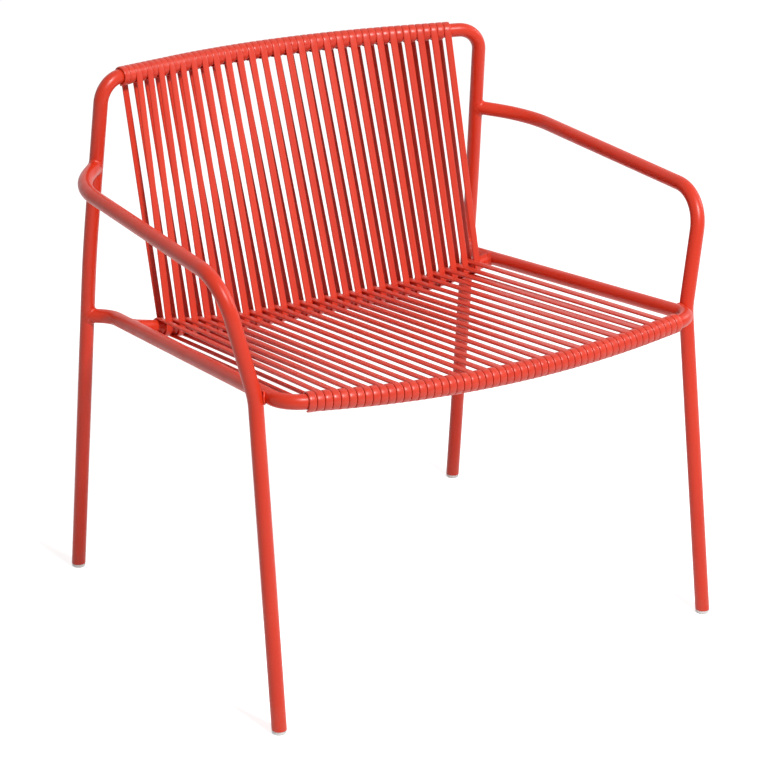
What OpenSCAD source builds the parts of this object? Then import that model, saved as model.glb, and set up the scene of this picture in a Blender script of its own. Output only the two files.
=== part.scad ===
// Garden armchair: bent round tubes welded together, with a seat and a back of flat cord wound
// over the rails. Millimetres, floor at z = 0, the sitter faces -Y, left and right are mirrored.

/* [Tube] */
// Outer diameter of every tube
tube_d = 19; // [18:0.1:20]
// Wall of every tube
tube_wall = 1.5; // [1:0.1:2.5]
// Room left between two tubes that lie side by side before they are welded
side_gap = 0.2; // [0.1:0.1:0.6]
// Room left between a tube's shaped end and the side of the tube that it meets
end_gap = 0.5; // [0.4:0.05:0.6]
// How far a weld bead stands out from the tube that ends there
bead = 1.8; // [1.6:0.1:2.2]
// How far it stands out from the tube that passes
bead_flank = 1.4; // [1.2:0.1:1.5]
// Room between a weld and the tube that ends there
bead_gap = 0.1; // [0.1:0.05:0.3]
// How far a weld's two tips stop short of the middle of the tube that passes
bead_tip = 1; // [0.9:0.1:1.2]

/* [Rear frame] */
// Half the distance between the rear feet
rear_foot_x = 313; // [300:1:330]
// Distance of the rear feet behind the middle
rear_foot_y = 305.6; // [290:1:320]
// Half the distance between the uprights at their slight bend
knee_x = 304.3; // [298:0.5:310]
// Distance of that bend behind the middle
knee_y = 253.5; // [245:0.5:262]
// Height of that bend
knee_z = 466.5; // [450:1:480]
// Radius of that bend
knee_r = 2500; // [1500:50:3000]
// Half the distance between the corners of the top rail
shoulder_x = 292.5; // [288:0.5:298]
// Distance of those corners behind the middle
shoulder_y = 222.6; // [212:1:232]
// Height of those corners
shoulder_z = 705.2; // [680:1:725]
// Bend radius of those corners
shoulder_r = 31; // [28:1:40]
// How far the top rail's straight runs reach backwards where they would meet
top_bow = 85.5; // [75:1:95]
// How far they fall to that point
top_fall = 5.5; // [2:0.5:12]
// Radius of the top rail's bow
top_bow_r = 629; // [560:10:680]

/* [Seat frame] */
// Height at which the side rails meet the uprights
seat_joint_z = 378; // [368:1:388]
// Half the distance between the side rails at their rear bend
seat_rear_x = 283; // [281:0.5:285]
// Distance of that bend behind the middle
seat_rear_y = 235.5; // [232:0.5:239]
// How far that bend is above the joint with the upright
seat_rear_rise = 2.3; // [1:0.2:4]
// Radius of that bend
seat_rear_r = 46; // [40:1:50]
// Half the distance between the front corners of the seat
seat_corner_x = 306.4; // [300:0.5:309]
// Distance of those corners in front of the middle
seat_corner_y = 254.5; // [246:1:260]
// Height of those corners
seat_front_z = 417.1; // [408:1:424]
// Bend radius of the front corners
seat_corner_r = 30.6; // [28:1:34]
// How far the front rail's straight runs reach forwards where they would meet
seat_bow = 44; // [38:1:50]
// How far they fall to that point
seat_fall = 20; // [16:0.5:24]
// Radius of the front rail's bow
seat_bow_r = 1506; // [1300:10:1600]

/* [Rear crossbar] */
// Distance of the crossbar behind the middle
crossbar_y = 174.8; // [168:0.5:180]
// How far its middle dips below its ends
crossbar_dip = 21.6; // [18:0.4:24]
// Distance of its two bends from the middle
crossbar_bend_x = 187; // [182:1:192]
// Radius of those bends
crossbar_bend_r = 850; // [700:10:880]

/* [Arms and front legs] */
// Height at which the arms meet the uprights
arm_joint_z = 589; // [575:1:600]
// Half the distance between the arms' rear bends
arm_rear_x = 351; // [344:1:358]
// Distance of those bends behind the middle
arm_rear_y = 182.5; // [176:1:188]
// Height of those bends
arm_rear_z = 581.6; // [570:1:592]
// Radius of those bends
arm_rear_r = 116; // [95:1:122]
// Half the distance between the arms at their front bends
arm_front_x = 356.6; // [350:1:362]
// Distance of those bends in front of the middle
arm_front_y = 198.8; // [192:1:205]
// Height of those bends
arm_front_z = 559.9; // [550:1:570]
// Radius of those bends
arm_front_r = 57.8; // [50:1:64]
// Distance in front of the middle at which the legs pass the side rails
leg_pass_y = 217.9; // [212:0.5:221]
// Radius of the leg's slight bend beside the side rail
leg_pass_r = 92; // [80:1:100]
// Half the distance between the front feet
front_foot_x = 328.3; // [318:1:340]
// Distance of the front feet in front of the middle
front_foot_y = 274.3; // [262:1:286]

/* [Glides] */
// Height of the glide's foot below the tube's end
glide_h = 5; // [4:0.5:8]
// Radius of the glide's foot
glide_r = 9.2; // [8.5:0.1:9.8]
// How far its sole is drawn in at the edge
glide_edge = 1.4; // [0.8:0.2:2.4]
// Length of its plug up inside the tube
plug_l = 18; // [12:1:26]
// Room between the plug and the tube's bore
plug_gap = 0.1; // [0.05:0.05:0.3]

/* [Cord] */
// Width of the flat cord, a little under the real one so that its turns stay clear
cord_w = 8.2; // [7.6:0.1:8.2]
// Thickness of the flat cord
cord_t = 3; // [2.4:0.1:3.4]
// Room between the cord and the tube that it is wound on
cord_gap = 0.15; // [0.1:0.05:0.4]
// Number of strands across the back, and across the seat
strands = 26; // [20:1:26]
// Step from strand to strand on the top rail
top_pitch = 19.81; // [19.5:0.02:20.1]
// Step from strand to strand on the crossbar
crossbar_pitch = 19.7; // [19.5:0.02:20]
// Step from strand to strand on the front rail
front_pitch = 20.57; // [20:0.05:21]
// Place of the first back strand along the top rail, from its middle
top_first = -245.7; // [-248:0.1:-242]
// Place of the first back strand along the crossbar, from its middle
crossbar_first = -236.2; // [-242:0.1:-232]
// Place of the first seat strand along the front rail, from its middle
front_first = -265; // [-268:0.1:-260]
// How far a seat strand is set over from the middle between two back strands
seat_shift = 0; // [-0.3:0.1:0.3]
// How far a rear strand comes up short of the middle between two front strands
rear_lead = 2.7; // [0:0.1:3.5]
// Where the back's cord ends on its second turn past the first strand, 0 in front, 90 on top
back_end_angle = -70; // [-100:5:-40]
// Where the seat's cord starts, on the turn before the first strand
seat_start_angle = -60; // [-80:5:-40]
// Where the seat's cord ends on its second turn past the last strand
seat_end_angle = 170; // [150:5:190]
// Length of the cord's straight ends
cord_end = 4; // [3:0.5:6]

/* [Hidden] */
// How far the middle of the chair's box lies behind the middle that the sizes above start from
centre_y = 9.8;
steel = [0.86, 0.24, 0.17];
bead_colour = [0.80, 0.22, 0.16];
glide_colour = [0.93, 0.93, 0.92];
cord_colour = [0.88, 0.25, 0.18];
facets = 48;
bend_steps = 12;
bend_lap = 0.5;
long_bend_lap = 3;
long_bend_r = 400;
hair = 0.02;
turn_rings = 8;
tube_r = tube_d / 2;
bore_r = tube_r - tube_wall;
up = [0, 0, 1];

// Vectors
function unit(v) = v / norm(v);
function blend(a, b, share) = a + (b - a) * share;
function mirrored(points) = [for (p = points) [-p.x, p.y, p.z]];
function reversed(list) = [for (i = [len(list) - 1 : -1 : 0]) list[i]];

// Turn and tangent length of the bend at point i of a path
function turn_at(path, i) = acos(unit(path[i] - path[i - 1]) * unit(path[i + 1] - path[i]));
function tangent_at(path, radii, i) =
    (i == 0 || i == len(path) - 1) ? 0 : radii[i] * tan(turn_at(path, i) / 2);

// Middle line of the right upright at a height
rear_foot = [rear_foot_x, rear_foot_y, 0];
knee = [knee_x, knee_y, knee_z];
shoulder = [shoulder_x, shoulder_y, shoulder_z];
top_apex = [0, shoulder_y + top_bow, shoulder_z - top_fall];
function upright_at(z) = z > knee_z
    ? blend(knee, shoulder, (z - knee_z) / (shoulder_z - knee_z))
    : blend(rear_foot, knee, z / knee_z);

// Paths are lists of corner points, each with the radius of its bend
rear_half = [rear_foot, knee, shoulder];
rear_path = concat(mirrored(rear_half), [top_apex], reversed(rear_half));
rear_radii = [0, knee_r, shoulder_r, top_bow_r, shoulder_r, knee_r, 0];

seat_start = upright_at(seat_joint_z);
seat_rear = [seat_rear_x, seat_rear_y, seat_joint_z + seat_rear_rise];
seat_corner = [seat_corner_x, -seat_corner_y, seat_front_z];
seat_apex = [0, -seat_corner_y - seat_bow, seat_front_z - seat_fall];
seat_half = [seat_start, seat_rear, seat_corner];
seat_path = concat(mirrored(seat_half), [seat_apex], reversed(seat_half));
seat_radii = [0, seat_rear_r, seat_corner_r, seat_bow_r, seat_corner_r, seat_rear_r, 0];
function side_rail_at(y) =
    blend(seat_rear, seat_corner, (seat_rear_y - y) / (seat_rear_y + seat_corner_y));

bar_end = side_rail_at(crossbar_y);
bar_bend = [crossbar_bend_x, crossbar_y, bar_end.z - crossbar_dip];
bar_path = concat(mirrored([bar_end, bar_bend]), [bar_bend, bar_end]);
bar_radii = [0, crossbar_bend_r, crossbar_bend_r, 0];

// The front leg bends just where it lies against the side rail
arm_start = upright_at(arm_joint_z);
arm_rear = [arm_rear_x, arm_rear_y, arm_rear_z];
arm_front = [arm_front_x, -arm_front_y, arm_front_z];
front_foot = [front_foot_x, -front_foot_y, 0];
rail_beside_leg = side_rail_at(-leg_pass_y);
outward = unit(cross(up, unit(seat_corner - seat_rear)));
touching = [arm_front, rail_beside_leg + outward * tube_d, front_foot];
leg_relief = leg_pass_r * (1 / cos(turn_at(touching, 1) / 2) - 1);
leg_pass = rail_beside_leg + outward * (tube_d + side_gap - leg_relief);
arm_path = [arm_start, arm_rear, arm_front, leg_pass, front_foot];
arm_radii = [0, arm_rear_r, arm_front_r, leg_pass_r, 0];

// Rails that the cord is wound on, by the distance along them from their middle
TOP = 0;
BAR = 1;
FRONT = 2;
function bowed(s, apex, inward, half_turn, r) =
    let (middle = apex + inward * r * (1 / cos(half_turn) - 1),
         angle = sign(s) * min(abs(s) / r * 180 / PI, half_turn),
         rest = s - angle * PI / 180 * r)
    middle + [r * sin(angle) + rest * cos(angle), 0, 0]
        + inward * (r * (1 - cos(angle)) + abs(rest) * sin(half_turn));
function dipped(s) =
    let (turn = turn_at(bar_path, 1),
         flat = crossbar_bend_x - crossbar_bend_r * tan(turn / 2),
         angle = sign(s) * min(max(abs(s) - flat, 0) / crossbar_bend_r * 180 / PI, turn),
         rest = max(abs(s) - flat - turn * PI / 180 * crossbar_bend_r, 0))
    [sign(s) * min(abs(s), flat) + crossbar_bend_r * sin(angle) + sign(s) * rest * cos(turn),
     crossbar_y,
     bar_bend.z + crossbar_bend_r * (1 - cos(angle)) + rest * sin(turn)];
top_inward = unit([0, -top_bow, top_fall]);
top_half_turn = turn_at(rear_path, 3) / 2;
front_inward = unit([0, seat_bow, seat_fall]);
front_half_turn = turn_at(seat_path, 3) / 2;
function rail_at(rail, s) =
    rail == TOP ? bowed(s, top_apex, top_inward, top_half_turn, top_bow_r)
    : rail == BAR ? dipped(s)
    : bowed(s, seat_apex, front_inward, front_half_turn, seat_bow_r);

// Around a rail: angle 0 is the side towards the sitter's front, 90 is on top
function along(rail, s) = unit(rail_at(rail, s + 0.5) - rail_at(rail, s - 0.5));
function ahead(rail, s) = unit(cross(along(rail, s), up));
function around(rail, s, angle) =
    let (front = ahead(rail, s), over = cross(front, along(rail, s)))
    front * cos(angle) + over * sin(angle);

// One ring of the cord lying on a rail: four corners, inner face first
inner_r = (tube_r + cord_gap) / cos(180 / turn_rings);
function ring(rail, s, angle, lift = 0) =
    [for (corner = [[-1, 0], [1, 0], [1, 1], [-1, 1]])
        let (at = s + corner[0] * cord_w / 2)
        rail_at(rail, at) + around(rail, at, angle) * (inner_r + corner[1] * cord_t)
            + around(rail, at, angle - 90) * lift];

// Angle at which a strand that runs towards a point leaves a rail
function down_angle(rail, s, towards) =
    let (m = unit(towards - rail_at(rail, s)), f = ahead(rail, s), o = cross(f, along(rail, s)))
    atan2(m * f, -m * o);
function back_angle(rail, s, towards) =
    let (m = unit(towards - rail_at(rail, s)), f = ahead(rail, s), o = cross(f, along(rail, s)))
    atan2(-m * f, m * o);
function positive(angle) = angle < 0 ? angle + 360 : angle;

// Rings of a winding that runs through given places, each a distance along its rail and an angle
function wound(rail, places) =
    [for (j = [0 : len(places) - 2])
        let (a = places[j], b = places[j + 1],
             steps = ceil(abs(b[1] - a[1]) * turn_rings / 360 - 0.04))
        for (k = [j == 0 ? 0 : 1 : steps])
            let (at = blend(a, b, k / steps)) ring(rail, at[0], at[1])];

// Angle past which the cord on a rail is clear of a straight strand that leaves the rail
clear_angle = acos(inner_r / (inner_r + cord_t));

// Back cord, from its right end to its left: each strand comes down in front, turns under the
// crossbar, goes up behind, and is wound one and a half turns on the top rail. There it moves
// over to the next strand's place below the rail, where neither strand covers it
top_step = top_pitch / 2;
top_turn = 60;
function top_place(i) = top_first + i * top_pitch;
function rear_place(i) = top_place(i) - top_step + rear_lead;
function crossbar_place(i) = crossbar_first + i * crossbar_pitch;
function strand_down(i) =
    down_angle(TOP, top_place(i), rail_at(BAR, crossbar_place(i)));
function strand_lands(i) =
    down_angle(BAR, crossbar_place(i), 2 * rail_at(BAR, crossbar_place(i)) - rail_at(TOP, top_place(i)));
function rear_leaves(i) =
    positive(down_angle(BAR, crossbar_place(i), rail_at(TOP, rear_place(i))));
function rear_arrives(i) =
    let (s = rear_place(i))
    positive(down_angle(TOP, s, 2 * rail_at(TOP, s) - rail_at(BAR, crossbar_place(i))));
last = strands - 1;
function over_top(i, end_angle) =
    let (first = top_place(i) - top_step, next = first - top_step)
    wound(TOP, [
        [rear_place(i), rear_arrives(i)],
        [first, top_turn],
        [first, strand_down(i) - clear_angle],
        [next + rear_lead, rear_arrives(i) - 360 + clear_angle],
        [next + rear_lead, rear_arrives(i) - 360],
        [next, top_turn - 360],
        [next, end_angle - 360]]);
back_start = [top_place(last) + rear_lead, 225];
back_end_s = top_place(0) - 2 * top_step;
back_rings = concat(
    [ring(TOP, back_start[0], back_start[1], -cord_end)],
    wound(TOP, [back_start, [top_place(last), top_turn], [top_place(last), strand_down(last)]]),
    [for (i = [last : -1 : 0]) each concat(
        wound(BAR, [[crossbar_place(i), strand_lands(i)], [crossbar_place(i), rear_leaves(i) - 360]]),
        over_top(i, i > 0 ? strand_down(i - 1) : back_end_angle))],
    [ring(TOP, back_end_s, back_end_angle - 360, cord_end)]);

// Seat cord, from its left end to its right: each strand runs back over the seat, turns down
// behind the crossbar, comes forwards below, and is wound one and a half turns on the front
// rail. Each turn moves over by half a step behind the rail and by another under it, so a
// lower strand lands halfway between two turns
front_step = front_pitch / 2;
front_half = front_step / 2;
front_turn = -60;
function front_place(i) = front_first + i * front_pitch;
function seat_bar_place(i) = crossbar_place(i) - crossbar_pitch / 2 + seat_shift;
function strand_back(i) =
    back_angle(FRONT, front_place(i), rail_at(BAR, seat_bar_place(i)));
function strand_meets(i) =
    back_angle(BAR, seat_bar_place(i), 2 * rail_at(BAR, seat_bar_place(i)) - rail_at(FRONT, front_place(i)));
function lower_leaves(i) =
    positive(back_angle(BAR, seat_bar_place(i), rail_at(FRONT, front_place(i) + front_half)));
function lower_arrives(i) =
    let (s = front_place(i) + front_half)
    back_angle(FRONT, s, 2 * rail_at(FRONT, s) - rail_at(BAR, seat_bar_place(i)));
function round_front(i, start, end_angle) =
    let (first = front_place(i) + front_step, next = first + front_step)
    wound(FRONT, concat(start, [
        [first, strand_back(i) + clear_angle],
        [next - front_half, lower_arrives(i) + 360 - clear_angle],
        [next - front_half, lower_arrives(i) + 360],
        [next, front_turn + 360],
        [next, end_angle + 360]]));
seat_start_s = front_place(-1) + front_step;
seat_end_s = front_place(last) + 2 * front_step;
seat_rings = concat(
    [ring(FRONT, seat_start_s, seat_start_angle, cord_end)],
    round_front(-1, [[seat_start_s, seat_start_angle]], strand_back(0)),
    [for (i = [0 : last]) each concat(
        wound(BAR, [[seat_bar_place(i), strand_meets(i)], [seat_bar_place(i), lower_leaves(i)]]),
        round_front(i,
            [[front_place(i) + front_half, lower_arrives(i)], [front_place(i) + front_step, front_turn]],
            i < last ? strand_back(i + 1) : seat_end_angle))],
    [ring(FRONT, seat_end_s, seat_end_angle + 360, -cord_end)]);

// Least gap of a cord to itself: corners of each ring against those of rings a turn or more on
function ring_gap(a, b) = min([for (p = a, q = b) norm(p - q)]);
function least_gap(rings) =
    min([for (i = [0 : len(rings) - 5], j = [i + 5 : min(i + 2 * turn_rings + 6, len(rings) - 1)])
        ring_gap(rings[i], rings[j])]);
echo(back_cord_least_gap = least_gap(back_rings));
echo(seat_cord_least_gap = least_gap(seat_rings));

// A solid swept through rings of four corners, closed at both ends
module ribbon(rings, outwards) {
    count = len(rings);
    points = [for (r = rings) each r];
    sides = [for (i = [0 : count - 2], k = [0 : 3])
        let (a = 4 * i + k, b = 4 * i + (k + 1) % 4)
        each [[a, b, b + 4], [a, b + 4, a + 4]]];
    end = 4 * (count - 1);
    caps = [[0, 2, 1], [0, 3, 2], [end, end + 1, end + 2], [end, end + 2, end + 3]];
    faces = concat(sides, caps);
    polyhedron(points, outwards ? faces : [for (f = faces) reversed(f)]);
}

// Places its child so that its x and z axes point as given
module placed(origin, x_axis, z_axis) {
    y_axis = cross(z_axis, x_axis);
    multmatrix([
        [x_axis.x, y_axis.x, z_axis.x, origin.x],
        [x_axis.y, y_axis.y, z_axis.y, origin.y],
        [x_axis.z, y_axis.z, z_axis.z, origin.z],
        [0, 0, 0, 1]
    ]) children();
}

// Tube section, hollow when an inner radius is given
module section(outer, inner) {
    difference() {
        circle(outer, $fn = facets);
        if (inner > 0) circle(inner, $fn = facets);
    }
}

// How far a straight run reaches over a bend: further over a long one, which hardly leaves it
function lap_over(r) = r > long_bend_r ? long_bend_lap : bend_lap;

// A tube bent along a path, each corner on its own radius. A bend is thinner by a hair than the
// straight runs, which reach a little way over it
module bent_tube(path, radii, outer, inner = 0) {
    ends = len(path) - 1;
    for (i = [0 : ends - 1]) {
        run = unit(path[i + 1] - path[i]);
        start = path[i] + run * (i == 0 ? 0 : tangent_at(path, radii, i) - lap_over(radii[i]));
        end = path[i + 1]
            - run * (i == ends - 1 ? 0 : tangent_at(path, radii, i + 1) - lap_over(radii[i + 1]));
        aside = unit(cross(run, abs(run.z) > 0.9 ? [0, 1, 0] : up));
        placed(start, aside, run) linear_extrude(norm(end - start)) section(outer, inner);
    }
    for (i = [1 : ends - 1]) {
        before = unit(path[i] - path[i - 1]);
        after = unit(path[i + 1] - path[i]);
        turn = turn_at(path, i);
        axis = unit(cross(before, after));
        centre = path[i] + unit(after - before) * radii[i] / cos(turn / 2);
        start = path[i] - before * tangent_at(path, radii, i);
        placed(centre, unit(start - centre), axis)
            rotate_extrude(angle = turn, $fn = bend_steps * 360 / turn)
                translate([radii[i], 0])
                    section(outer - hair, inner > 0 ? inner + hair : 0);
    }
}

// Everything below the height at which the tubes stand on their glides
module below_tubes() {
    reach = 2 * max(rear_foot_x, front_foot_x, rear_foot_y, front_foot_y);
    translate([-reach, -reach, -reach]) cube([2 * reach, 2 * reach, reach + glide_h]);
}

// The uprights and the side rails, solid, to shape the ends of the tubes that meet them
module uprights() {
    bent_tube(rear_path, rear_radii, tube_r + end_gap);
}

module side_rails() {
    bent_tube(seat_path, seat_radii, tube_r + end_gap);
}

module mirrored_pair() {
    children();
    mirror([1, 0, 0]) children();
}

// Moves a piece forwards, so that the middle of the chair's box stands over the origin
module centred() {
    translate([0, -centre_y, 0]) children();
}

module rear_frame() {
    color(steel) centred() difference() {
        bent_tube(rear_path, rear_radii, tube_r, bore_r);
        below_tubes();
    }
}

module seat_frame() {
    color(steel) centred() difference() {
        bent_tube(seat_path, seat_radii, tube_r, bore_r);
        uprights();
    }
}

module rear_crossbar() {
    color(steel) centred() difference() {
        bent_tube(bar_path, bar_radii, tube_r, bore_r);
        side_rails();
    }
}

module arm_leg() {
    difference() {
        bent_tube(arm_path, arm_radii, tube_r, bore_r);
        uprights();
        below_tubes();
    }
}

module right_arm_leg() {
    color(steel) centred() arm_leg();
}

module left_arm_leg() {
    color(steel) centred() mirror([1, 0, 0]) arm_leg();
}

// A layer round a tube, from one height above its surface to another
module layer(path, radii, low, high) {
    difference() {
        bent_tube(path, radii, tube_r + high);
        bent_tube(path, radii, tube_r + low);
    }
}

// A weld fills the space close to both tubes, where one ends on the side of the other
module weld(ending_from, ending_to, passing_path, passing_radii) {
    intersection() {
        layer([ending_from + unit(ending_to - ending_from) * bead_tip, ending_to], [0, 0],
            bead_gap, bead);
        layer(passing_path, passing_radii, hair, bead_flank);
    }
}

module arm_welds() {
    color(bead_colour) centred() mirrored_pair() weld(arm_start, arm_rear, [knee, shoulder], [0, 0]);
}

module seat_welds() {
    color(bead_colour) centred() mirrored_pair() weld(seat_start, seat_rear, rear_half, [0, knee_r, 0]);
}

module crossbar_welds() {
    color(bead_colour) centred() mirrored_pair() weld(bar_bend, bar_end, [seat_rear, seat_corner], [0, 0]);
}

module leg_welds() {
    color(bead_colour) centred() mirrored_pair() difference() {
        intersection() {
            bent_tube(arm_path, arm_radii, tube_r + bead);
            bent_tube([seat_rear, seat_corner], [0, 0], tube_r + bead_flank);
        }
        bent_tube(arm_path, arm_radii, tube_r);
        bent_tube([seat_rear, seat_corner], [0, 0], tube_r);
    }
}

// A moulded glide: a flat round foot under the tube and a plug up inside it
module glide(foot, above) {
    axis = unit(above - foot);
    seat_point = foot + axis * glide_h / axis.z;
    color(glide_colour) centred() {
        translate([seat_point.x, seat_point.y, 0]) rotate_extrude($fn = facets)
            polygon([[0, 0], [glide_r - glide_edge, 0], [glide_r, glide_edge], [glide_r, glide_h], [0, glide_h]]);
        placed(foot + axis * glide_h / 2, unit(cross(axis, [0, 1, 0])), axis)
            cylinder(r = bore_r - plug_gap, h = plug_l + glide_h / 2, $fn = facets);
    }
}

module front_right_glide() {
    glide(front_foot, leg_pass);
}

module front_left_glide() {
    mirror([1, 0, 0]) glide(front_foot, leg_pass);
}

module rear_right_glide() {
    glide(rear_foot, knee);
}

module rear_left_glide() {
    mirror([1, 0, 0]) glide(rear_foot, knee);
}

module back_cord() {
    color(cord_colour) centred() ribbon(back_rings, true);
}

module seat_cord() {
    color(cord_colour) centred() ribbon(seat_rings, false);
}

rear_frame();
seat_frame();
rear_crossbar();
left_arm_leg();
right_arm_leg();
arm_welds();
seat_welds();
crossbar_welds();
leg_welds();
front_left_glide();
front_right_glide();
rear_left_glide();
rear_right_glide();
back_cord();
seat_cord();
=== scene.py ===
"""Garden armchair: bent steel tube, powder coated, with a back and a seat of wound flat cord."""

import math

import bpy
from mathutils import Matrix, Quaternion, Vector


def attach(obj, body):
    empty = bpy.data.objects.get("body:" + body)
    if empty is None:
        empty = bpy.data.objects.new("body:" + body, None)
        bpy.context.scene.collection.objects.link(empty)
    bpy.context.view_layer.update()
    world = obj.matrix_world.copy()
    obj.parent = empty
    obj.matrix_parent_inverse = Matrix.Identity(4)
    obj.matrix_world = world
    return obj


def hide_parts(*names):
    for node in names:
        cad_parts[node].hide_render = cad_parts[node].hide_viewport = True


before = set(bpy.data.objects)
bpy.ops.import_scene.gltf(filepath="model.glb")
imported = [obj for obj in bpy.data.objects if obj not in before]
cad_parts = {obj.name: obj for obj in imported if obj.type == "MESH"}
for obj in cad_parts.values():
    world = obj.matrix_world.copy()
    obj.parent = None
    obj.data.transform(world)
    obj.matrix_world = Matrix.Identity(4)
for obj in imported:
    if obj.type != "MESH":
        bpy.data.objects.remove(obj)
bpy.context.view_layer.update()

# Camera: a long lens in front of the left arm, at a standing person's eye height, as in the
# photograph. It leans by a quarter of a degree.
camera_place = Vector((-1.778, -2.7918, 1.5105))
camera_aim = Vector((-0.00716, -0.01347, 0.30608))
camera = bpy.data.objects.new("camera", bpy.data.cameras.new("camera"))
camera.data.lens = 124.7
camera.data.sensor_width = 36
camera.data.clip_end = 60
camera.location = camera_place
camera.rotation_mode = "QUATERNION"
lean = Quaternion((0, 0, 1), math.radians(0.24))
camera.rotation_quaternion = (camera_aim - camera_place).to_track_quat("-Z", "Y") @ lean
bpy.context.scene.collection.objects.link(camera)
bpy.context.scene.camera = camera


# Floor: a plain pale studio floor that runs out into the white behind it. It keeps the soft
# shadows at the feet.
def put(tree, kind, inputs=None, **settings):
    """Adds a node, with values or links for its inputs."""
    made = tree.nodes.new(kind)
    for name, value in settings.items():
        setattr(made, name, value)
    for name, value in (inputs or {}).items():
        if isinstance(value, bpy.types.NodeSocket):
            tree.links.new(value, made.inputs[name])
        else:
            made.inputs[name].default_value = value
    return made


def seen_directly(tree):
    """1 for the camera and for what glossy or clear surfaces show, otherwise 0."""
    path = put(tree, "ShaderNodeLightPath").outputs
    either = put(tree, "ShaderNodeMath", {0: path["Is Camera Ray"], 1: path["Is Glossy Ray"]},
                 operation="MAXIMUM").outputs[0]
    return put(tree, "ShaderNodeMath", {0: either, 1: path["Is Transmission Ray"]},
               operation="MAXIMUM").outputs[0]


floor_half = 14
floor_mesh = bpy.data.meshes.new("floor")
floor_mesh.from_pydata(
    [(-floor_half, -floor_half, 0), (floor_half, -floor_half, 0),
     (floor_half, floor_half, 0), (-floor_half, floor_half, 0)], [], [(0, 1, 2, 3)])
floor = bpy.data.objects.new("floor", floor_mesh)
bpy.context.scene.collection.objects.link(floor)
floor_paint = bpy.data.materials.new("studio_floor")
floor_paint.use_nodes = True
tree = floor_paint.node_tree
tree.nodes.clear()
matt = put(tree, "ShaderNodeBsdfDiffuse", {"Color": (0.8, 0.8, 0.8, 1)})
glow = put(tree, "ShaderNodeEmission", {"Color": (1, 1, 1, 1), "Strength": 0.78})
none = put(tree, "ShaderNodeEmission", {"Color": (0, 0, 0, 1), "Strength": 0.0})
shown = put(tree, "ShaderNodeMixShader",
            {0: seen_directly(tree), 1: none.outputs[0], 2: glow.outputs[0]})
both = put(tree, "ShaderNodeAddShader", {0: matt.outputs[0], 1: shown.outputs[0]})
put(tree, "ShaderNodeOutputMaterial", {"Surface": both.outputs[0]})
floor_mesh.materials.append(floor_paint)

# Studio light: a soft box high in front of the chair gives the shape, a weak one lights its
# right side, and the pale room fills the shadows from all sides.
view = bpy.context.scene.view_settings
view.view_transform = "Standard"
room = bpy.data.worlds.new("room")
bpy.context.scene.world = room
room.use_nodes = True
tree = room.node_tree
tree.nodes.clear()
fill = put(tree, "ShaderNodeBackground", {"Color": (1, 1, 1, 1), "Strength": 0.17})
white = put(tree, "ShaderNodeBackground", {"Color": (1, 1, 1, 1), "Strength": 1.0})
mixed = put(tree, "ShaderNodeMixShader",
            {0: seen_directly(tree), 1: fill.outputs[0], 2: white.outputs[0]})
put(tree, "ShaderNodeOutputWorld", {"Surface": mixed.outputs[0]})


def soft_box(name, place, aim, side, power):
    """A square lamp that faces a point."""
    lamp = bpy.data.objects.new(name, bpy.data.lights.new(name, "AREA"))
    lamp.data.size = side
    lamp.data.energy = power
    lamp.location = place
    lamp.rotation_mode = "QUATERNION"
    lamp.rotation_quaternion = (Vector(aim) - Vector(place)).to_track_quat("-Z", "Y")
    bpy.context.scene.collection.objects.link(lamp)


chair_middle = (0, 0, 0.4)
soft_box("main_light", place=(0.1, -2.75, 3.4), aim=chair_middle, side=0.7, power=144)
soft_box("side_light", place=(3.0, -0.6, 2.0), aim=chair_middle, side=1.2, power=22)

# Rear frame, seat frame, crossbar, arms and front legs: round steel tube, bent cold, welded,
# and powder coated as one piece after welding. The coat has a fine orange peel.
tube_r = 0.0095


def noise_of(tree, place, scale, detail=2.0, roughness=0.5):
    """A cloudy value from 0 to 1 at that many clouds a metre."""
    clouds = put(tree, "ShaderNodeTexNoise",
                 {"Vector": place, "Scale": scale, "Detail": detail, "Roughness": roughness})
    return clouds.outputs["Fac"]


def spread(tree, value, low, high):
    """The middle part of a cloudy value spread over another range."""
    ranged = put(tree, "ShaderNodeMapRange",
                 {"Value": value, "From Min": 0.3, "From Max": 0.7, "To Min": low, "To Max": high})
    return ranged.outputs["Result"]


def mix_colours(tree, share, first, second):
    """A colour between two others."""
    made = put(tree, "ShaderNodeMix", data_type="RGBA")
    tree.links.new(share, made.inputs["Factor"])
    for socket, value in ((made.inputs[6], first), (made.inputs[7], second)):
        if isinstance(value, bpy.types.NodeSocket):
            tree.links.new(value, socket)
        else:
            socket.default_value = value
    return made.outputs[2]


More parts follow.
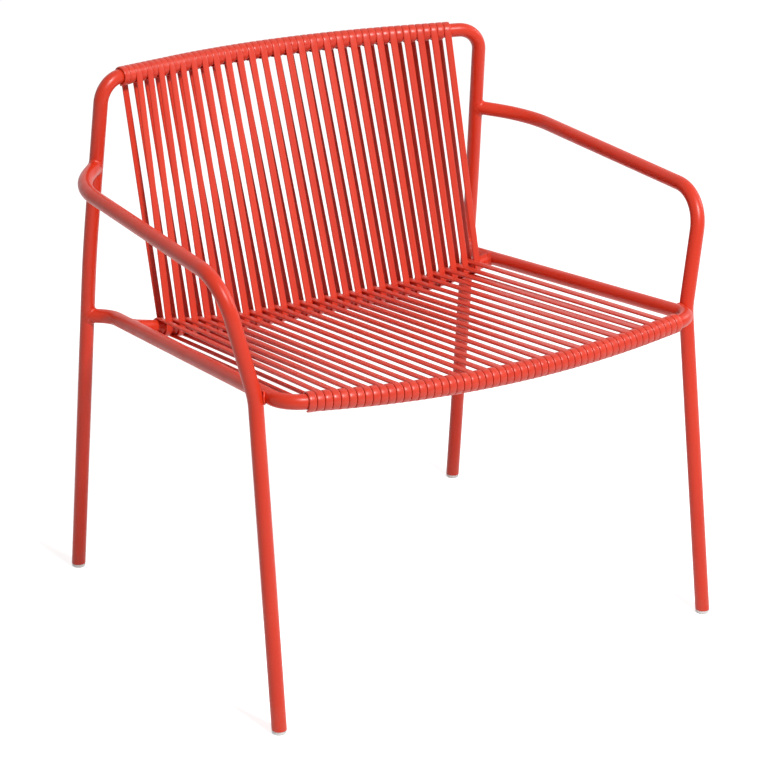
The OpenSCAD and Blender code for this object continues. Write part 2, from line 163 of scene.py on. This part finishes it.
def powder_coat():
    """Satin coral red coat: slight clouds of tone, orange peel, and dust near the floor."""
    coat = bpy.data.materials.new("coral_powder_coat")
    coat.use_nodes = True
    tree = coat.node_tree
    shader = tree.nodes["Principled BSDF"]
    place = put(tree, "ShaderNodeTexCoord").outputs["Object"]
    cloud = noise_of(tree, place, 9, 3)
    speck = noise_of(tree, place, 620, 2)
    deep_coral = (0.660, 0.028, 0.006, 1)
    coral = (0.720, 0.036, 0.009, 1)
    speck_colour = (0.78, 0.07, 0.03, 1)
    dust_colour = (0.42, 0.16, 0.12, 1)
    tone = mix_colours(tree, spread(tree, cloud, 0, 1), deep_coral, coral)
    tone = mix_colours(tree, spread(tree, speck, 0, 0.16), tone, speck_colour)
    height = put(tree, "ShaderNodeSeparateXYZ", {0: place}).outputs["Z"]
    near_floor = put(tree, "ShaderNodeMapRange",
                     {"Value": height, "From Min": 0.045, "From Max": 0.006,
                      "To Min": 0, "To Max": 0.22}).outputs["Result"]
    patches = spread(tree, noise_of(tree, place, 160, 4), 0, 1)
    dust = put(tree, "ShaderNodeMath", {0: near_floor, 1: patches}, operation="MULTIPLY").outputs[0]
    tree.links.new(mix_colours(tree, dust, tone, dust_colour), shader.inputs["Base Color"])
    tree.links.new(spread(tree, noise_of(tree, place, 45, 3), 0.32, 0.42), shader.inputs["Roughness"])
    peel = put(tree, "ShaderNodeBump", {"Height": noise_of(tree, place, 1150, 2, 0.6),
                                        "Strength": 0.22, "Distance": 0.00012})
    tree.links.new(peel.outputs[0], shader.inputs["Normal"])
    shader.inputs["Specular IOR Level"].default_value = 0.36
    shader.inputs["Coat Weight"].default_value = 0.1
    shader.inputs["Coat Roughness"].default_value = 0.22
    return coat


frame_coat = powder_coat()
for name in ("rear_frame", "seat_frame", "rear_crossbar", "left_arm_leg", "right_arm_leg"):
    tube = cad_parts[name]
    for material_slot in tube.material_slots:
        material_slot.material = frame_coat

# Welds: a smooth, slightly rippled fillet runs round each tube that ends on another, and a low
# bead round the place where a front leg touches its side rail. The coat covers them.
rear_foot = Vector((0.313, 0.2958, 0))
knee = Vector((0.3043, 0.2437, 0.4665))
shoulder = Vector((0.2925, 0.2128, 0.7052))
seat_joint_z = 0.378
seat_joint = rear_foot.lerp(knee, seat_joint_z / knee.z)
seat_rear = Vector((0.283, 0.2257, 0.3803))
seat_corner = Vector((0.3064, -0.2643, 0.4171))
arm_joint_z = 0.589
arm_joint = knee.lerp(shoulder, (arm_joint_z - knee.z) / (shoulder.z - knee.z))
arm_rear = Vector((0.351, 0.1727, 0.5816))
upright_low = (knee - rear_foot).normalized()
upright_high = (shoulder - knee).normalized()
side_rail = (seat_corner - seat_rear).normalized()
crossbar_y, crossbar_bend_x, crossbar_dip = 0.165, 0.187, 0.0216
leg_beside_y = -0.2277


def side_rail_at(y):
    """Middle of the right side rail at a distance behind the chair's middle."""
    return seat_rear.lerp(seat_corner, (seat_rear.y - y) / (seat_rear.y - seat_corner.y))


crossbar_end = side_rail_at(crossbar_y)
crossbar_bend = Vector((crossbar_bend_x, crossbar_y, crossbar_end.z - crossbar_dip))
leg_beside = side_rail_at(leg_beside_y)
skin = 0.00008


def smooth_mesh(name, points, faces):
    """A smooth shaded mesh object."""
    mesh = bpy.data.meshes.new(name)
    mesh.from_pydata([tuple(p) for p in points], [], faces)
    mesh.shade_smooth()
    made = bpy.data.objects.new(name, mesh)
    bpy.context.scene.collection.objects.link(made)
    return made


def fillet_at_end(joint, towards, passing):
    """Sections of the fillet where a tube leaves the side of another, both of the same width."""
    weld_reach, ripple_share, ripples = 0.0027, 0.05, 34
    root_depth = 0.0006
    count, face_points = 180, 9
    axis = (towards - joint).normalized()
    aside = axis.cross(passing).normalized()
    over = axis.cross(aside)

    def corner_at(angle):
        """Where the two surfaces meet, and the direction out of the ending tube there."""
        out = aside * math.cos(angle) + over * math.sin(angle)
        axis_part = axis - passing * axis.dot(passing)
        out_part = (out - passing * out.dot(passing)) * tube_r
        a, b = axis_part.length_squared, axis_part.dot(out_part)
        c = out_part.length_squared - tube_r ** 2
        return joint + axis * (-b + math.sqrt(max(0, b * b - a * c))) / a + out * tube_r, out

    sections = []
    for k in range(count):
        angle = 2 * math.pi * k / count
        corner, out = corner_at(angle)
        round_it = (corner_at(angle + 0.01)[0] - corner_at(angle - 0.01)[0]).normalized()
        radial = corner - joint
        radial = (radial - passing * radial.dot(passing)).normalized()
        up_the_end = round_it.cross(out).normalized()
        up_the_end *= math.copysign(1, up_the_end.dot(axis))
        round_the_passing = round_it.cross(radial).normalized()
        round_the_passing *= math.copysign(1, round_the_passing.dot(out - axis))
        reach = weld_reach * (1 + ripple_share * math.sin(angle * ripples))
        high = corner + up_the_end * reach + out * skin
        low = corner + round_the_passing * reach
        from_line = low - joint
        from_line -= passing * from_line.dot(passing)
        low += from_line.normalized() * (tube_r + skin - from_line.length)
        bulge = high.lerp(low, 0.5).lerp(corner, 0.45)
        section = [corner - (out + radial) * root_depth]
        for j in range(face_points):
            t = j / (face_points - 1)
            section.append(high * (1 - t) ** 2 + bulge * 2 * t * (1 - t) + low * t ** 2)
        sections.append(section)
    return sections


def bead_between(touch, out, first, second):
    """Sections of the low bead round the spot where a tube passes on the side of another."""
    bead_r, ripple_length, ripple_share = 0.0016, 0.0019, 0.05
    drawn_in = 0.93
    count, corners = 200, 12
    line = []
    for k in range(count):
        angle = 2 * math.pi * k / count
        size = 4 * tube_r * bead_r + 2 * bead_r ** 2
        h = math.sqrt(size)
        for _ in range(8):
            lift = -h * h * math.cos(2 * angle) / (4 * tube_r)
            h = math.sqrt(max(0, size - 2 * lift ** 2))
        across = first * math.cos(angle) + second * math.sin(angle)
        line.append(touch + across * h * drawn_in + out * lift)
    ripples = round(sum((line[k] - line[k - 1]).length for k in range(count)) / ripple_length)
    sections = []
    for k, spot in enumerate(line):
        ahead = (line[(k + 1) % count] - line[k - 1]).normalized()
        aside = (spot - touch).cross(ahead).normalized()
        outwards = ahead.cross(aside)
        r = bead_r * (1 + ripple_share * math.sin(2 * math.pi * ripples * k / count))
        angles = [2 * math.pi * j / corners for j in range(corners)]
        sections.append([spot + (aside * math.cos(a) + outwards * math.sin(a)) * r for a in angles])
    return sections


def welds(name, node, sections):
    """The weld on the right and its mirror image on the left, as one piece."""
    count, corners = len(sections), len(sections[0])
    points = [p for section in sections for p in section]
    faces = [(corners * k + j, corners * k + (j + 1) % corners,
              corners * ((k + 1) % count) + (j + 1) % corners, corners * ((k + 1) % count) + j)
             for k in range(count) for j in range(corners)]
    middle = sum(points, Vector()) / len(points)
    a, b, c = ([points[f[corner]] - middle for f in faces] for corner in (0, 1, 2))
    volume = sum(p.dot(q.cross(r)) for p, q, r in zip(a, b, c))
    if volume < 0:
        faces = [tuple(reversed(f)) for f in faces]
    mirrored_points = [Vector((-p.x, p.y, p.z)) for p in points]
    mirrored_faces = [tuple(len(points) + i for i in reversed(f)) for f in faces]
    made = smooth_mesh(name, points + mirrored_points, faces + mirrored_faces)
    made.data.materials.append(frame_coat)
    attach(made, "root")
    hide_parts(node)


welds("arm_weld_beads", "arm_welds", fillet_at_end(arm_joint, arm_rear, upright_high))
welds("seat_weld_beads", "seat_welds", fillet_at_end(seat_joint, seat_rear, upright_low))
welds("crossbar_weld_beads", "crossbar_welds", fillet_at_end(crossbar_end, crossbar_bend, side_rail))
outward = Vector((0, 0, 1)).cross(side_rail).normalized()
welds("leg_weld_beads", "leg_welds",
      bead_between(leg_beside + outward * tube_r, outward, outward.cross(side_rail), side_rail))

# Glides: a moulded foot of pale, slightly clear plastic under each leg, pressed into the tube.
# A fine groove runs round it.
glide_r = 0.0092
groove_r = 0.0089
glide_top = 0.005
tube_gap = 0.0002
front_foot = Vector((0.3283, -0.2841, 0))
leg_top = leg_beside + outward * (2 * tube_r + tube_gap)


def glide_plastic():
    """Clear pale plastic, cloudy inside and scuffed low down."""
    plastic = bpy.data.materials.new("glide_plastic")
    plastic.use_nodes = True
    tree = plastic.node_tree
    shader = tree.nodes["Principled BSDF"]
    place = put(tree, "ShaderNodeTexCoord").outputs["Object"]
    cloud = noise_of(tree, place, 120, 3)
    tree.links.new(mix_colours(tree, cloud, (0.70, 0.70, 0.68, 1), (0.84, 0.84, 0.82, 1)),
                   shader.inputs["Base Color"])
    tree.links.new(spread(tree, noise_of(tree, place, 400, 3), 0.30, 0.52), shader.inputs["Roughness"])
    shader.inputs["Transmission Weight"].default_value = 0.25
    shader.inputs["IOR"].default_value = 1.49
    grain = put(tree, "ShaderNodeBump", {"Height": noise_of(tree, place, 2600, 2),
                                         "Strength": 0.2, "Distance": 0.00008})
    tree.links.new(grain.outputs[0], shader.inputs["Normal"])
    return plastic


pale_plastic = glide_plastic()


def glide(name, node, foot, above):
    """A turned foot: flat sole, rounded edge, and a groove just under the tube's end."""
    sides = 48
    axis = (above - foot).normalized()
    centre = foot + axis * (glide_top / axis.z)
    sole = [(0, 0), (0.0070, 0), (0.0078, 0.0001), (0.0084, 0.0004), (0.0089, 0.0009), (glide_r, 0.0016)]
    groove = [(glide_r, 0.0034), (groove_r, 0.0038), (groove_r, 0.0042), (glide_r, 0.0045)]
    profile = sole + groove + [(glide_r, glide_top), (0, glide_top)]
    points, faces = [], []
    for r, z in profile:
        for j in range(sides):
            angle = 2 * math.pi * j / sides
            points.append(Vector((centre.x + r * math.cos(angle), centre.y + r * math.sin(angle), z)))
    for k in range(len(profile) - 1):
        for j in range(sides):
            a, b = sides * k + j, sides * k + (j + 1) % sides
            faces.append((a, b, b + sides, a + sides))
    made = smooth_mesh(name, points, faces)
    made.data.materials.append(pale_plastic)
    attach(made, "root")
    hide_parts(node)


def left(point):
    """The same point on the other side."""
    return Vector((-point.x, point.y, point.z))


glide("front_right_foot", "front_right_glide", front_foot, leg_top)
glide("front_left_foot", "front_left_glide", left(front_foot), left(leg_top))
glide("rear_right_foot", "rear_right_glide", rear_foot, knee)
glide("rear_left_foot", "rear_left_glide", left(rear_foot), left(knee))

# Back cord: one length of flat oval plastic cord. It goes round the crossbar, up behind, one and
# a half turns along the top rail, down in front, and so on from the right end to the left.
cord_half_w = 0.0049
cord_half_t = 0.0015
slack = 0.00005
wound_r = tube_r + slack + cord_half_t
strands = 26
last = strands - 1
top_pitch, crossbar_pitch, front_pitch = 0.01981, 0.0197, 0.02057
top_first, crossbar_first, front_first = -0.2457, -0.2362, -0.265
top_step, front_step = top_pitch / 2, front_pitch / 2
rear_lead = 0.0027
up = Vector((0, 0, 1))


def bowed_rail(middle, inward, radius, half_turn):
    """Middle line of a rail that bows evenly and runs out straight, by the distance along it."""
    def at(s):
        side = math.copysign(1, s)
        angle = min(abs(s) / radius, half_turn)
        rest = abs(s) - angle * radius
        across = side * (radius * math.sin(angle) + rest * math.cos(angle))
        return (middle + Vector((across, 0, 0))
                + inward * (radius * (1 - math.cos(angle)) + rest * math.sin(angle)))
    return at


def dipped_rail(flat, radius, turn, middle):
    """Middle line of a rail with a level middle and two gentle upward bends."""
    def at(s):
        side = math.copysign(1, s)
        angle = min(max(abs(s) - flat, 0) / radius, turn)
        rest = max(abs(s) - flat - turn * radius, 0)
        across = min(abs(s), flat) + radius * math.sin(angle) + rest * math.cos(turn)
        rise = radius * (1 - math.cos(angle)) + rest * math.sin(turn)
        return middle + Vector((side * across, 0, rise))
    return at


crossbar_r = 0.85
crossbar_turn = math.atan2(crossbar_end.z - crossbar_bend.z, crossbar_end.x - crossbar_bend.x)
top_rail = bowed_rail(middle=Vector((0, 0.2718, 0.7014)), inward=Vector((0, -0.0855, 0.0055)).normalized(),
                      radius=0.629, half_turn=math.radians(16.32))
front_rail = bowed_rail(middle=Vector((0, -0.2914, 0.4048)), inward=Vector((0, 0.044, 0.02)).normalized(),
                        radius=1.506, half_turn=math.radians(8.96))
crossbar = dipped_rail(flat=crossbar_bend_x - crossbar_r * math.tan(crossbar_turn / 2), radius=crossbar_r,
                       turn=crossbar_turn, middle=Vector((0, crossbar_bend.y, crossbar_bend.z)))


def facing(rail, s):
    """The rail's own direction at a place, the level direction to its front, and up from it."""
    little = 0.0005
    along = (rail(s + little) - rail(s - little)).normalized()
    front = along.cross(up).normalized()
    return along, front, front.cross(along)


def lying(rail, s, angle):
    """Middle of the cord on a rail and the direction its face looks. Angle 0 is the front."""
    along, front, over = facing(rail, s)
    out = front * math.cos(angle) + over * math.sin(angle)
    return rail(s) + out * wound_r, out


def wound(rail, places):
    """The cord's course round a rail through places, each a distance along it and an angle."""
    step_angle = math.radians(9)
    course = [lying(rail, *places[0])]
    for (s0, a0), (s1, a1) in zip(places, places[1:]):
        steps = max(3, round(abs(a1 - a0) / step_angle))
        for k in range(1, steps + 1):
            share = k / steps
            eased = share ** 2 * (3 - 2 * share)
            course.append(lying(rail, s0 + (s1 - s0) * eased, a0 + (a1 - a0) * share))
    return course


def leaving(rail, s, towards, backwards=False):
    """Angle at which a cord that runs to a point leaves the front, or the top, of a rail."""
    _, front, over = facing(rail, s)
    course = (towards - rail(s)).normalized()
    if backwards:
        return math.atan2(-course.dot(front), course.dot(over))
    return math.atan2(course.dot(front), -course.dot(over))


def positive(angle):
    """The same angle counted from 0 to a full turn."""
    return angle + 2 * math.pi if angle < 0 else angle


def strung(before, after):
    """The straight run between two turns. It bends into line in its first and last 16 mm."""
    (a0, _), (a, a_out) = before[-2], before[-1]
    (b, b_out), (b0, _) = after[0], after[1]
    run = (b - a).normalized()
    length = (b - a).length
    ease = 0.016
    start_slant = (a - a0).normalized()
    start_slant -= run * start_slant.dot(run)
    end_slant = (b0 - b).normalized()
    end_slant -= run * end_slant.dot(run)
    near_marks = [share * ease for share in (0.15, 0.3, 0.5, 0.75, 1)]
    middle_marks = [length * k / 6 for k in range(1, 6)]
    course = []
    for d in sorted(near_marks + middle_marks + [length - mark for mark in near_marks]):
        near_a = d * max(0, 1 - d / ease) ** 2
        near_b = (length - d) * max(0, 1 - (length - d) / ease) ** 2
        spot = a + run * d + start_slant * near_a - end_slant * near_b
        out = a_out.lerp(b_out, d / length)
        course.append((spot, (out - run * out.dot(run)).normalized()))
    return course


def ribbon(name, course, lefts):
    """Sweeps the cord's flat oval section along its course, with the length run in its UVs."""
    corners = 18
    square_edges, flat_faces = 0.55, 0.72
    oval = []
    for j in range(corners):
        angle = 2 * math.pi * j / corners
        x, y = math.cos(angle), math.sin(angle)
        oval.append((math.copysign(abs(x) ** square_edges, x) * cord_half_w,
                     math.copysign(abs(y) ** flat_faces, y) * cord_half_t))
    points, run_lengths = [], []
    length = 0
    for k, (spot, out) in enumerate(course):
        before, after = course[max(k - 1, 0)][0], course[min(k + 1, len(course) - 1)][0]
        ahead = (after - before).normalized()
        face = (out - ahead * out.dot(ahead)).normalized()
        across = ahead.cross(face) * lefts
        length += (spot - before).length
        run_lengths.append(length)
        points += [spot + across * x + face * y for x, y in oval]
    rings = len(course)
    faces = []
    for k in range(rings - 1):
        for j in range(corners):
            a, b = corners * k + j, corners * k + (j + 1) % corners
            faces.append((a, a + corners, b + corners, b))
    faces += [tuple(range(corners)), tuple(corners * (rings - 1) + j for j in reversed(range(corners)))]
    if lefts > 0:
        faces = [tuple(reversed(f)) for f in faces]
    made = smooth_mesh(name, points, faces)
    layer = made.data.uv_layers.new(name="length")
    for polygon in made.data.polygons:
        corner_js = [made.data.loops[i].vertex_index % corners for i in polygon.loop_indices]
        seam = len(polygon.loop_indices) == 4 and corners - 1 in corner_js and 0 in corner_js
        for i, j in zip(polygon.loop_indices, corner_js):
            ring = made.data.loops[i].vertex_index // corners
            layer.data[i].uv = ((corners if seam and j == 0 else j) / corners, run_lengths[ring])
    return made


def cord_plastic():
    """Satin extruded plastic: fine die lines along it, slight changes of tone, soft scuffs."""
    plastic = bpy.data.materials.new("coral_cord_plastic")
    plastic.use_nodes = True
    tree = plastic.node_tree
    shader = tree.nodes["Principled BSDF"]
    uv = put(tree, "ShaderNodeUVMap", uv_map="length").outputs[0]
    lines_place = put(tree, "ShaderNodeMapping", {"Vector": uv, "Scale": (46, 5, 1)}).outputs[0]
    tone_place = put(tree, "ShaderNodeMapping", {"Vector": uv, "Scale": (0.5, 3.2, 1)}).outputs[0]
    lines = noise_of(tree, lines_place, 1, 2)
    tone = noise_of(tree, tone_place, 1, 2)
    place = put(tree, "ShaderNodeTexCoord").outputs["Object"]
    deep_coral = (0.625, 0.026, 0.006, 1)
    coral = (0.715, 0.040, 0.012, 1)
    line_colour = (0.82, 0.11, 0.06, 1)
    colour = mix_colours(tree, spread(tree, tone, 0, 1), deep_coral, coral)
    colour = mix_colours(tree, spread(tree, lines, 0, 0.14), colour, line_colour)
    tree.links.new(colour, shader.inputs["Base Color"])
    tree.links.new(spread(tree, noise_of(tree, place, 90, 3), 0.30, 0.42), shader.inputs["Roughness"])
    drawn = put(tree, "ShaderNodeBump", {"Height": lines, "Strength": 0.25, "Distance": 0.00018})
    pitted = put(tree, "ShaderNodeBump", {"Height": noise_of(tree, place, 1500, 2), "Strength": 0.12,
                                          "Distance": 0.0001, "Normal": drawn.outputs[0]})
    tree.links.new(pitted.outputs[0], shader.inputs["Normal"])
    shader.inputs["Specular IOR Level"].default_value = 0.5
    return plastic


red_cord = cord_plastic()


def loose_end(course, at_start):
    """The cut end: the last few millimetres stand off straight from the rail."""
    tail_length = 0.003
    (spot, out), (inner, _) = (course[0], course[1]) if at_start else (course[-1], course[-2])
    away = (spot - inner).normalized()
    tail = [(spot + away * d, out) for d in (tail_length / 2, tail_length)]
    return tail[::-1] + course if at_start else course + tail


# Below the rail, where no strand covers it, the cord moves over to the next strand's place
clear_angle = math.acos((wound_r - cord_half_t) / (wound_r + cord_half_t))
turn = 2 * math.pi
high = math.radians(60)
back_start_angle = math.radians(225)
back_end_angle = math.radians(-70)
pieces = []
for i in range(last, -1, -1):
    top_s = top_first + i * top_pitch
    bar_s = crossbar_first + i * crossbar_pitch
    first_s = top_s - top_step
    next_s = top_s - top_pitch
    rear_s = first_s + rear_lead
    down = leaving(top_rail, top_s, crossbar(bar_s))
    if i == last:
        pieces.append(wound(top_rail, [(top_s + rear_lead, back_start_angle), (top_s, high), (top_s, down)]))
    lands = leaving(crossbar, bar_s, 2 * crossbar(bar_s) - top_rail(top_s))
    lifts = positive(leaving(crossbar, bar_s, top_rail(rear_s))) - turn
    pieces.append(wound(crossbar, [(bar_s, lands), (bar_s, lifts)]))
    arrives = positive(leaving(top_rail, rear_s, 2 * top_rail(rear_s) - crossbar(bar_s)))
    next_down = leaving(top_rail, next_s, crossbar(bar_s - crossbar_pitch)) if i else back_end_angle
    pieces.append(wound(top_rail, [
        (rear_s, arrives), (first_s, high), (first_s, down - clear_angle),
        (next_s + rear_lead, arrives - turn + clear_angle), (next_s + rear_lead, arrives - turn),
        (next_s, high - turn), (next_s, next_down - turn)]))
course = pieces[0]
for piece in pieces[1:]:
    course = course + strung(course, piece) + piece
course = loose_end(loose_end(course, True), False)
back = ribbon("back_cord_winding", course, 1)
back.data.materials.append(red_cord)
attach(back, "root")
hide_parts("back_cord")

# Seat cord: the same cord in one length. Each strand runs back over the seat, turns down behind
# the crossbar between two back strands, comes forwards below and is wound on the front rail.
low = math.radians(-60)
moved = math.radians(-97) + turn
seat_start_angle = math.radians(-60)
seat_end_angle = math.radians(170)
pieces = []
for i in range(-1, strands):
    front_s = front_first + i * front_pitch
    bar_s = crossbar_first + i * crossbar_pitch - crossbar_pitch / 2
    first_s = front_s + front_step
    lands_s = front_s + front_step / 2
    next_s = front_s + front_pitch
    leaves = leaving(front_rail, front_s, crossbar(bar_s), True)
    arrives = leaving(front_rail, lands_s, 2 * front_rail(lands_s) - crossbar(bar_s), True)
    next_leaves = leaving(front_rail, next_s, crossbar(bar_s + crossbar_pitch), True)
    if i < 0:
        start = [(first_s, seat_start_angle)]
    else:
        meets = leaving(crossbar, bar_s, 2 * crossbar(bar_s) - front_rail(front_s), True)
        drops = positive(leaving(crossbar, bar_s, front_rail(lands_s), True))
        pieces.append(wound(crossbar, [(bar_s, meets), (bar_s, drops)]))
        start = [(lands_s, arrives), (first_s, low)]
    if i == last:
        next_leaves = seat_end_angle
    pieces.append(wound(front_rail, start + [
        (first_s, leaves + clear_angle), (next_s - front_step / 2, moved - clear_angle),
        (next_s - front_step / 2, moved), (next_s, low + turn), (next_s, next_leaves + turn)]))
course = pieces[0]
for piece in pieces[1:]:
    course = course + strung(course, piece) + piece
course = loose_end(loose_end(course, True), False)
seat = ribbon("seat_cord_winding", course, -1)
seat.data.materials.append(red_cord)
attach(seat, "root")
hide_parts("seat_cord")
